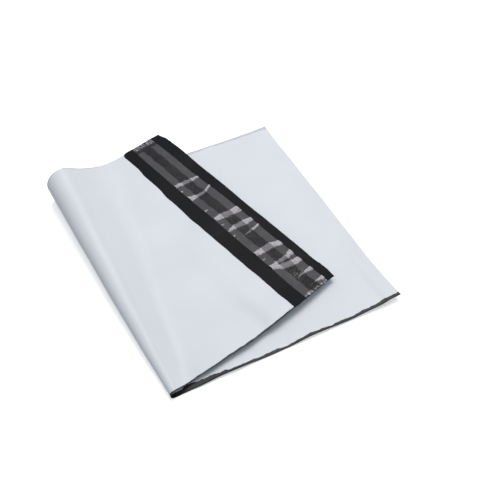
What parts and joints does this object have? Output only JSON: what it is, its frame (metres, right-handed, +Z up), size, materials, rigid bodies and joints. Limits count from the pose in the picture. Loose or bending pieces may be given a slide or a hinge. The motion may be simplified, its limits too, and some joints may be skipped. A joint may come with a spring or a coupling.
{
  "type": "poly mailer bag",
  "caption": "Empty white polythene mailing bag folded over once and lying flat, its black closing flap with a glue band under a clear peel-off liner.",
  "frame": {"origin": "middle of the folded bag's footprint, on the surface it lies on", "axes": "+Z up, +X from the fold towards the closed end of the lower leaf, +Y across the bag towards the loose end of the fold"},
  "size_m": [0.2086, 0.262, 0.0266],
  "materials": {
    "film": "co-extruded polythene film, satin white outside and black inside",
    "glue": "clear hot-melt glue over black film",
    "liner": "clear, puckered, glossy peel-off film"
  },
  "bodies": {
    "root": {"bag_film": "film", "adhesive_strip": "glue", "release_liner": "liner"}
  },
  "joints": []
}
